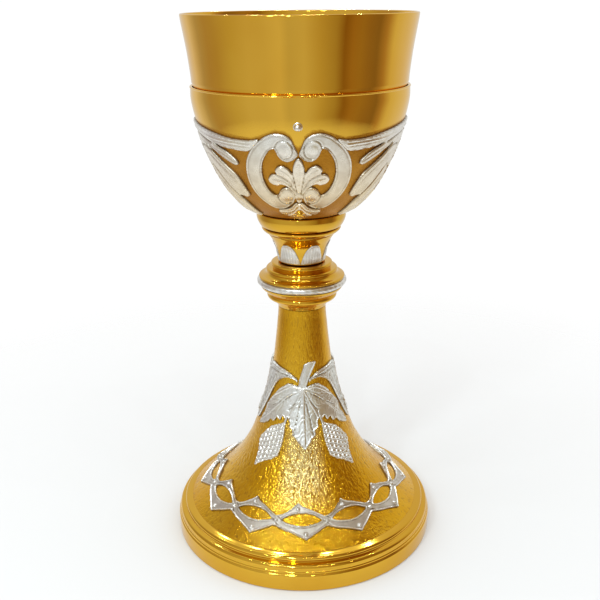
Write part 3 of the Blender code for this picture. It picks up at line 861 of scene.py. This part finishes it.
def make_knop(gold, silver):
    top = joined([(5, 133.1), (12.6, 133.1)], arc((13.1, 132.2), 0.85, 90, -60, 10),
                 [(13.4, 131.2), (13.4, 130.9)], [(14.6, 130.4)], arc((15.3, 129.5), 0.95, 85, -60, 10),
                 spline([(15.9, 128.4), (16.3, 127.8), (17.4, 127.2), (18.9, 126.9)], 10),
                 arc((19, 126.3), 0.55, 80, -60, 7), [(19.3, 125.72), (5, 125.72)])
    turned("knop_top", top, gold, ["knop_upper"])
    swell = spline([(19.3, 125.5), (20, 125.2), (20.35, 124.4), (20.2, 123.5), (19.6, 122.8),
                    (19.1, 122.5)], 18)
    band = joined([(14, 125.55), (19.3, 125.55)], swell, [(14, 122.5)])

    def beading(turns, index):
        around, level = np.radians(turns), band[index, 1]
        dents = np.sin(around * 31 + 1.5 * np.sin(around * 7)) + np.sin(around * 47 + level * 2.1)
        return 0.05 * dents * bump(level - 124, 1) * (band[index, 0] > 19)
    turned("knop_silver_band", band, silver, ["knop_band"], 448, relief=beading,
           attributes={"raised": lambda turns, index: 0.72 + 3.2 * beading(turns, index)})
    under = joined([(5, 125.4), (13.6, 125.4), (13.6, 122.2), (19, 122.2)],
                   spline([(19, 122.1), (18.4, 121), (17.4, 120.1), (16.9, 119.6)], 12), [(5, 119.6)])
    turned("knop_underside", under, gold, ["knop_lower"])
    ring = joined([(5, 119.3), (15.2, 119.3)], arc((14.4, 117.4), 1.55, 60, -62, 16),
                  [(13.2, 115.7), (13.1, 115.2)],
                  spline([(12.9, 115), (12.1, 114), (11.4, 112.8), (11.1, 112.3)], 10), [(5, 112.3)])
    turned("stem_ring_turned", ring, gold, ["stem_ring"])


# ---------------------------------------------------------------- stem and foot

STEM_LINE = spline([(10.9, 112), (11.1, 108), (11.5, 104), (12.1, 98), (12.8, 92), (13.8, 84), (15.2, 76),
                    (17.2, 68), (20, 60), (23, 52), (26.5, 44), (32.8, 34), (40.5, 26),
                    (48.2, 20), (54.85, 15.3)], 200)
STEM = Shell(STEM_LINE)


def chasing(turns, index):
    """Short tool strokes that run down the stem, deep in the middle and faint above."""
    index = np.minimum(index, len(STEM_LINE) - 1)
    s = STEM.s[index]
    around = np.radians(turns)
    marks = np.zeros(turns.shape)
    strokes = np.random.default_rng(7)
    for count, length, share in ((90, 3.4, 0.5), (140, 2.2, 0.35), (56, 5, 0.3)):
        offset = strokes.random(3) * 6.28
        sway = np.sin(s / length * 2.1 + offset[0]) * 1.4 + np.sin(s / length * 3.7 + around * 3 + offset[1])
        swing = 3 * np.sin(around * 11 + offset[2])
        marks += share * np.sin(around * count + sway) * np.sin(s / length * 6.28 / 2 + swing)
    level = STEM.height(s)
    deep = np.interp(level, [14, 17, 24, 32, 60, 78, 86, 112], [0, 0.2, 0.45, 0.9, 1, 0.5, 0.2, 0.1])
    return 0.10 * deep * (0.35 + 0.65 * np.cos(around) ** 2) * marks


def make_stem(gold):
    inner = moved(STEM_LINE, 1.25)[::-1]
    inner = inner[(inner[:, 1] > 15) & (inner[:, 1] < 110)][::6]
    line = joined(STEM_LINE, [(54.85, 14.95), (54.4, 14.95)], inner,
                  [(inner[-1, 0], 110.8), (3.4, 110.8), (3.4, 112)])
    outer = len(STEM_LINE)

    def marks(turns, index):
        return np.where(index < outer, chasing(turns, index), 0)
    turned("stem_chased", line, gold, ["stem"], 400, relief=marks)


def make_foot_rim(gold):
    line = joined([(54.6, 14.6), (54.6, 15), (54.88, 15.27), (55.4, 15.3), (56.6, 14.9)],
                  arc((57.2, 13.6), 1.25, 80, -35, 12),
                  [(58.35, 12.5)], arc((59.4, 10.6), 1.55, 95, -25, 14), [(60.85, 9.75)],
                  arc((60.55, 8.75), 0.72, 60, -30, 7), [(61.25, 8.2)], arc((60.9, 7.2), 0.9, 60, 0, 7),
                  [(61.8, 4), (61.8, 0.6)], arc((61.2, 0.6), 0.6, 0, -80, 6),
                  [(59.6, 0), (59.4, 0.3), (59.4, 6.4), (58.6, 9), (56.2, 11.6), (52.4, 12.6),
                   (52.4, 14.1), (54.95, 14.1)])
    turned("foot_rim_turned", line, gold, ["foot_rim"], FINE)


LEAF_SIDE = [(9.6, 53.6), (14, 55), (14.4, 57), (19, 58.6), (18.8, 60.6), (22.7, 62.6), (25, 61.6),
             (30, 62.6), (33, 60.6), (38.5, 61.6), (42, 59.4), (48.5, 59.6), (54, 57.4), (67.5, 55.4),
             (66.4, 59), (63, 62)]
LEAF_SHOULDER = [(57, 68.9), (51, 71.4), (46, 73.4), (40, 75.2), (33, 76.6), (27, 77.8), (20, 77.8)]
STALK = [(12, 77.4), (6.4, 76.8), (8, 78.6), (14, 82.4), (24.5, 87.4), (23.6, 88.2), (14, 88.4),
         (1.6, 87.2), (1, 86.4), (-4, 82.6), (-7.5, 79.2), (-9, 77.2), (-14, 77.6)]

LEAF = [(1, 48.9), (4.6, 50.6), (7.4, 52), *LEAF_SIDE, (62.4, 66),
        *LEAF_SHOULDER, *STALK, *opposite(LEAF_SHOULDER), (-62.4, 65.8), *opposite(LEAF_SIDE), (-7, 52),
        (-3.4, 50.6)]
LEAF_VEINS = [[(0, 75.6), (0.6, 62), (0.8, 50.2)]] + both([[(0, 75.6), (30, 70.6), (66, 57.2)],
              [(0, 75.6), (16, 66), (20.6, 61.6)], [(0, 75.6), (24, 76), (50, 71)]])
LEAF_VALLEYS = both([[(5, 72), (22, 65.6)], [(4, 70), (9, 62), (12, 54.6)], [(10, 74.4), (50, 66)]])


def leaf_relief():
    """The vine leaf with its cut stalk: a thin rim, ribs from the hub and side ribs off them."""
    patch = Patch.between(STEM, -73, 73, 91, 47.6, 0.26)
    depth = patch.cut(LEAF, 5)
    height = leafy(patch, depth, LEAF_VEINS, LEAF_VALLEYS, 0.16, 2.4, 0.14, 3.3, 0.36)
    stalk = patch.height_above(77.6)
    height = np.where(stalk, plate(depth, 0.26, 0.14), height)
    return patch, depth, height


GRAPES = [(24.6, 60), (30, 59.4), (36, 58.4), (43.4, 57), (50, 54.2), (55.8, 50.6), (55, 47.6),
          (52.4, 45), (51.4, 42), (50.2, 38.8), (45, 40.4), (40.4, 42), (34.2, 43.2), (28.2, 45.2),
          (25.8, 49), (24, 53.4), (24, 57.4)]

BERRY_PITCH = 2.35                       # from berry to berry
BUNCH_RADIUS = 24.6                      # of the stem, at the middle of the bunch
SLANT_COS, SLANT_SIN = 0.92, 0.39        # the rows of berries slant by 23 degrees


def grapes_relief():
    """A slanting bunch of packed, uneven berries, hung from the leaf by a short stalk."""
    patch = Patch.between(STEM, 19, 60, 67, 37, 0.26)
    bunch = patch.cut(GRAPES)
    middle_angle, middle_s = 41, float(STEM.at_height(49.5))
    uneven = np.random.default_rng(3)
    nearest = np.full(patch.A.shape, 1e9)
    second = np.full(patch.A.shape, 1e9)
    for row in range(-8, 9):
        for column in range(-8, 9):
            across = (column + (row % 2) * 0.5) * BERRY_PITCH + uneven.uniform(-0.28, 0.28)
            down = row * BERRY_PITCH * 0.86 + uneven.uniform(-0.28, 0.28)
            angle = middle_angle + (across * SLANT_COS - down * SLANT_SIN) / (math.radians(1) * BUNCH_RADIUS)
            s = middle_s + down * SLANT_COS + across * SLANT_SIN
            away = np.hypot((patch.A - angle) * patch.scale[:, None], patch.S - s)
            second = np.minimum(second, np.maximum(nearest, away))
            nearest = np.minimum(nearest, away)
    berry = np.clip((second - nearest) / 1.5, 0, 1)
    height = 0.36 + 0.05 * rise(bunch, 0.7) + 0.90 * np.sqrt(berry * (2 - berry)) * rise(bunch + 0.3, 0.8)
    depth = bunch + 0.28 * (berry - 0.5)
    stalk = 0.55 - patch.near([(22.4, 65), (23.6, 62.4), (26.4, 58.6)], 12)[0]
    height = np.where(stalk > np.minimum(depth, 0.2), 0.45 + 0.45 * rise(stalk, 0.5), height)
    return patch, np.maximum(depth, stalk), height


SHOOT = [(8.6, 78.2), (14, 79.4), (22, 80.2), (31, 80.2), (42, 79), (52, 76.4), (60, 72), (68, 65.6),
         (75, 58.4), (79, 56.2), (82.6, 57.6), (85, 62), (87.4, 67), (88.6, 72), (88.8, 78), (88.6, 81.6),
         (84, 84), (76, 85), (66, 85.2), (45, 84.4), (30, 83.6), (18, 81.8), (11, 80.4)]
SHOOT_VEINS = [[(16, 81), (45, 83), (68, 83.6), (87, 81.4)], [(56, 79.6), (70, 70.4), (79, 57.8)],
               [(78, 80), (82.4, 72), (84.4, 62)]]
SHOOT_VALLEYS = [[(18, 80.9), (45, 81.7), (68, 82), (88, 79.8)], [(68, 80.4), (77.4, 71), (81.4, 60)]]


def shoot_relief():
    patch = Patch.between(STEM, 10, 89.6, 86, 54.8, 0.3)
    depth = patch.cut(SHOOT)
    height = leafy(patch, depth, SHOOT_VEINS, SHOOT_VALLEYS, 0.10, 1.2, 0.15, 2.4, 0.46)
    return patch, depth, height


def make_vine(silver):
    leaf, grapes, shoot = leaf_relief(), grapes_relief(), shoot_relief()
    for side, turn in SIDES:
        place = turn + LEAF_TURN
        relief(f"vine_leaf_{side}", *leaf, silver, place)
        for hand, flip in (("right", False), ("left", True)):
            relief(f"grapes_{side}_{hand}", *grapes, silver, place, flip)
            relief(f"vine_shoot_{side}_{hand}", *shoot, silver, place, flip)


BRAID_UPPER = [(-15, 42), (-10.7, 41.2), (-6.7, 39.5), (-2.9, 37.8), (-2.1, 37.3), (-1.2, 37.7),
               (1.5, 38.6), (6.3, 39.6), (11, 41)]
BRAID_LOWER = [(-15, 46), (-9.3, 47.3), (-4.1, 48.4), (1.6, 50.2), (2.8, 50.8), (3.8, 50.2), (8, 48.4),
               (12, 46.8)]
BRAID_WINDOW = [(-11, 43.5), (-9.4, 42.6), (-6, 41.6), (0.3, 40.9), (6.6, 41.4), (10.4, 42.6),
                (12.2, 43.6), (8.4, 44.6), (2, 45.4), (-4, 45.1), (-9, 44.3)]
BRAID_OVER = [[(11.6, 42.6), (15, 44.6), (18.4, 46.6)], [(11.6, 40.9), (15.6, 42.4), (19.2, 43.8)]]


def make_braid(silver):
    """Two bands plaited into twelve cells, with a thorn above and below each and a small stud."""
    top, foot = float(STEM.at_radius(35.4)), float(STEM.at_radius(51.6))
    patch = Patch(STEM, -180, 180, top, foot, 0.34)
    cells = [30.0 * k for k in range(-7, 8)]

    def drawn(points, turn):
        return [(angle + turn, float(STEM.at_radius(radius))) for angle, radius in points]
    outer, inner = [], []
    for turn in cells:
        outer += drawn(BRAID_LOWER, turn)
        inner += drawn(BRAID_UPPER, turn)
    low = spline(outer, 900)
    high = spline(inner, 900)
    below = np.interp(patch.A, low[:, 0], low[:, 1]) - patch.S
    above = patch.S - np.interp(patch.A, high[:, 0], high[:, 1])
    band = np.minimum(below, above)
    holes = [closed_spline(drawn(BRAID_WINDOW, turn), 5) for turn in cells]
    window = np.full(patch.A.shape, -1e9)
    for hole in holes:
        near = (hole[:, 0].min() - 6 < patch.angle) & (patch.angle < hole[:, 0].max() + 6)
        if near.any():
            window[:, near] = np.maximum(window[:, near], patch.narrowed(near).depth(hole))
    depth = np.minimum(band, -window)
    height = plate(depth, 0.46, 0.16) - 0.06 * rise(depth - 0.7, 0.5)
    for turn in cells[::2] + cells[1::2]:
        for line in BRAID_OVER:
            seam = spline(drawn(line, turn), 8)
            near = (seam[:, 0].min() - 4 < patch.angle) & (patch.angle < seam[:, 0].max() + 4)
            if near.any():
                away = patch.narrowed(near).nearest(seam)[0]
                height[:, near] += 0.12 * bump(away - 0.45, 0.25) - 0.28 * bump(away, 0.24)
        for angle, radius, size in ((-2.2, 39.4, 0.8), (2.6, 48.6, 0.85), (15.2, 44, 0.75)):
            s = float(STEM.at_radius(radius))
            stud = size - np.hypot((patch.A - angle - turn) * patch.scale[:, None], patch.S - s)
            height = np.where(stud > 0, np.maximum(height, 0.8 + 0.7 * dome(stud, size)), height)
    relief("thorn_braid", patch, depth, height, silver, BRAID_TURN)


# ---------------------------------------------------------------- the CAD pieces that stay

def dress_inner_pieces(gold, steel):
    for name, metal in (("cup_boss", gold), ("tie_rod", steel), ("washer", steel),
                        ("clamp_nut", steel), ("lock_nut", steel)):
        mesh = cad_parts[name].data
        mesh.materials.clear()
        mesh.materials.append(metal)


# ---------------------------------------------------------------- light, floor and camera

def linear(red, green, blue):
    """Light values for a colour given as display values from 0 to 255."""
    values = [channel / 255 for channel in (red, green, blue)]
    return [v / 12.92 if v <= 0.04045 else ((v + 0.055) / 1.055) ** 2.4 for v in values]


# What the polished gold shows at each bearing round the studio: (bearing, display colour on gold).
# Bearings are in degrees from the front, positive towards +X.
STUDIO = [(-180, (216, 186, 112)), (-136, (215, 185, 109)), (-118, (174, 133, 52)),
          (-104, (169, 122, 40)), (-92, (172, 126, 40)), (-72, (187, 144, 46)), (-53, (197, 159, 58)),
          (-36, (198, 160, 60)), (-20, (205, 168, 69)), (-11, (191, 151, 53)), (4, (197, 156, 58)),
          (20, (181, 135, 39)), (36, (161, 116, 30)), (45, (131, 78, 10)), (54, (151, 95, 18)),
          (63, (150, 98, 20)), (72, (140, 90, 20)), (83, (130, 84, 19)), (94, (166, 110, 30)),
          (106, (206, 159, 52)), (119, (212, 172, 90)), (138, (216, 183, 113)), (180, (216, 186, 112))]


TABLE_GLOW = (0.62, 0.66, 0.60)           # the pale table top, which shows in the gold that faces it
TABLE_SHARE = 0.62                        # how far the glow covers the bands
TABLE_EDGE = (-0.62, -0.48)               # it comes in between these heights of a unit line of sight
BACKDROP = 1.02                           # strength of the white surround


def make_world():
    """Soft boxes and dark gaps round the studio, by bearing. The backdrop itself is white."""
    world = bpy.data.worlds.new("studio")
    bpy.context.scene.world = world
    world.use_nodes = True
    world.cycles.sampling_method = "NONE"
    tree = world.node_tree
    tree.nodes.clear()
    way = node(tree, "TexCoord").outputs["Generated"]
    height = along(tree, "Z", way)
    bearing = maths(tree, "ARCTAN2", along(tree, "X", way), product(tree, along(tree, "Y", way), -1.0))
    ramp = node(tree, "ValToRGB", ranged(tree, bearing, -math.pi, math.pi, 0.0, 1.0))
    stops = ramp.color_ramp.elements
    while len(stops) > 1:
        stops.remove(stops[-1])
    for k, (angle, colour) in enumerate(STUDIO):
        place = (angle + 180.0) / 360.0
        stop = stops[0] if k == 0 else stops.new(place)
        stop.position = place
        red, green, blue = (value / base for value, base in zip(linear(*colour), GOLD))
        stop.color = (red, min(green, red), min(blue, 0.98 * red), 1.0)
    below = ranged(tree, height, *TABLE_EDGE, TABLE_SHARE, 0.0)
    bands = node(tree, "Background", blended(tree, below, ramp.outputs["Color"], TABLE_GLOW),
                 ranged(tree, height, -0.4, 0.9, 0.97, 1.0))
    white = node(tree, "Background", (1.0, 1.0, 1.0), BACKDROP)
    path = node(tree, "LightPath").outputs
    plain = maths(tree, "MAXIMUM", path["Is Camera Ray"], path["Is Diffuse Ray"])
    either = node(tree, "MixShader", plain, bands.outputs[0], white.outputs[0])
    node(tree, "OutputWorld", either.outputs[0])


FLOOR_SIDES = 96
FLOOR_RINGS = (0.10, 0.25, 0.45)          # radii in metres
FLOOR_FADE = (0.10, 0.40)                 # radii between which the table top fades out
FLOOR_COLOUR = (0.79, 0.785, 0.77)
FLOOR_DROP = 0.0002                       # the table top is this far under the foot


def make_floor():
    """A pale round table top whose edge fades into the white surround."""
    made, tree, shader = shaded("pale_floor", 0.0)
    fade = ranged(tree, vector_maths(tree, "LENGTH", own_place(tree)), *FLOOR_FADE, 1.0, 0.0)
    for key, value in (("Base Color", FLOOR_COLOUR), ("Roughness", 0.9),
                       ("Specular IOR Level", 0.0), ("Alpha", fade)):
        plug(tree, shader.inputs[key], value)
    mesh = bpy.data.meshes.new("floor")
    turn = np.radians(np.arange(FLOOR_SIDES) * 360.0 / FLOOR_SIDES)
    rings = [np.column_stack([r * np.cos(turn), r * np.sin(turn), turn * 0]) for r in FLOOR_RINGS]
    faces = [list(range(FLOOR_SIDES))]
    for first in (0, FLOOR_SIDES):
        for k in range(FLOOR_SIDES):
            a, b = first + k, first + (k + 1) % FLOOR_SIDES
            faces.append([a, a + FLOOR_SIDES, b + FLOOR_SIDES, b])
    mesh.from_pydata(np.vstack(rings).tolist(), [], faces)
    mesh.materials.append(made)
    floor = bpy.data.objects.new("floor", mesh)
    floor.location.z = -FLOOR_DROP
    bpy.context.scene.collection.objects.link(floor)


def area_light(name, place, aim, width, height, watts):
    """A cool rectangular light, aimed at a height on the axis."""
    data = bpy.data.lights.new(name, "AREA")
    data.shape = "RECTANGLE"
    data.size, data.size_y = width, height
    data.energy = watts
    data.color = COOL
    light = bpy.data.objects.new(name, data)
    light.location = place
    light.rotation_euler = (Vector((0, 0, aim)) - Vector(place)).to_track_quat("-Z", "Y").to_euler()
    bpy.context.scene.collection.objects.link(light)
    return light


COOL = (0.76, 0.90, 1.0)
FOOT_MIDDLE = 0.05                        # height in metres that the soft lights look at
LAMP_SIZE = 0.03                          # side of a lamp, in metres
LAMP_WATTS = 0.34
BACK_WATTS = 0.5
# (bearing, brightness) of the small ceiling lamps
LAMPS = [(-68, 0.7), (-58, 0.5), (-46, 0.9), (-34, 0.8), (-18, 1.8), (3, 0.9), (10, 0.7), (19, 0.9),
         (23, 0.6), (38, 0.8), (58, 0.6)]
# (distance from the axis, height above 0.15 m) of the even and of the odd ceiling lamps, in metres
LAMP_ROWS = ((0.74, 1.05), (0.62, 1.15))
# Bearings of the lamps behind the chalice, whose glints show on rolled edges only
BACK_LAMPS = [-158, -166, -171, -176, 178, 172, 165, 159]
# (name, bearing, elevation, width, height, watts) of the soft lights seen in the flare of the stem
SOFT_LIGHTS = [("window_low", -10, 31, 0.04, 0.22, 2.0), ("window_high", -29, 42, 0.06, 0.26, 1.9)]


def from_axis_point(bearing, elevation, distance):
    """A place round the middle of the foot, by bearing and elevation in degrees."""
    turn, up = math.radians(bearing), math.radians(elevation)
    way = Vector((math.sin(turn) * math.cos(up), -math.cos(turn) * math.cos(up), math.sin(up)))
    return Vector((0, 0, FOOT_MIDDLE)) + distance * way


def make_lights():
    for name, bearing, elevation, width, height, watts in SOFT_LIGHTS:
        area_light(name, from_axis_point(bearing, elevation, 1.2), FOOT_MIDDLE, width, height, watts)
    for k, bearing in enumerate(BACK_LAMPS):
        place = from_axis_point(bearing, 46 + 5 * (k % 3), 1.3)
        area_light(f"back_lamp_{k}", place, 0.15, LAMP_SIZE, LAMP_SIZE, BACK_WATTS).visible_diffuse = False
    for k, (bearing, share) in enumerate(LAMPS):
        turn = math.radians(bearing)
        away, up = LAMP_ROWS[k % 2]
        place = (away * math.sin(turn), -away * math.cos(turn), 0.15 + up)
        area_light(f"lamp_{k}", place, 0.1, LAMP_SIZE, LAMP_SIZE, LAMP_WATTS * share)


LENS = 51.9                               # in millimetres on a 36 mm sensor
CAMERA_BACK, CAMERA_UP = 1.570, 1.030     # in heights of the chalice
CAMERA_YAW, CAMERA_DOWN, CAMERA_ROLL = 0.14, 19.51, -0.54


def make_camera():
    data = bpy.data.cameras.new("camera")
    data.lens = LENS
    data.sensor_width = 36.0
    data.clip_start = 0.01
    camera = bpy.data.objects.new("camera", data)
    height = CAD_BOX[1][2]
    place = Matrix.Translation((0.0, -CAMERA_BACK * height, CAMERA_UP * height))
    yaw = Matrix.Rotation(math.radians(CAMERA_YAW), 4, "Z")
    pitch = Matrix.Rotation(math.radians(90.0 - CAMERA_DOWN), 4, "X")
    roll = Matrix.Rotation(math.radians(CAMERA_ROLL), 4, "Z")
    camera.matrix_world = place @ yaw @ pitch @ roll
    bpy.context.scene.collection.objects.link(camera)
    bpy.context.scene.camera = camera


def main():
    bright = polished_gold("gold_polished")
    # The cast pieces get a darker copy of the gilding: a rougher finish, with painted shade in its colour
    shaded_cast = polished_gold("gold_cast_shaded", CAST_SHADED_GOLD, (0.06, 0.13), 0.000006)
    chased = chased_gold("gold_chased")
    silver = satin_silver("silver_satin")
    calyx_silver_painted_reflection = satin_silver("silver_calyx_painted_reflection", painted_reflection=CALYX_GOLD_REFLECTION)
    vine_silver = satin_silver("silver_vine", plain_pair=VINE_SILVER)
    braid_silver = satin_silver("silver_braid", plain_pair=BRAID_SILVER)
    steel = plain_steel("steel_plain")
    make_cup(bright)
    make_calyx(calyx_gold("gold_calyx"))
    make_calyx_ornaments(calyx_silver_painted_reflection, bright)
    make_collar(shaded_cast)
    make_capital(shaded_cast, satin_silver("silver_petals", True))
    make_knop(shaded_cast, silver)
    make_stem(chased)
    make_foot_rim(shaded_cast)
    make_vine(vine_silver)
    make_braid(braid_silver)
    dress_inner_pieces(shaded_cast, steel)
    make_world()
    make_floor()
    make_lights()
    make_camera()
    bpy.context.scene.view_settings.view_transform = "Standard"


main()
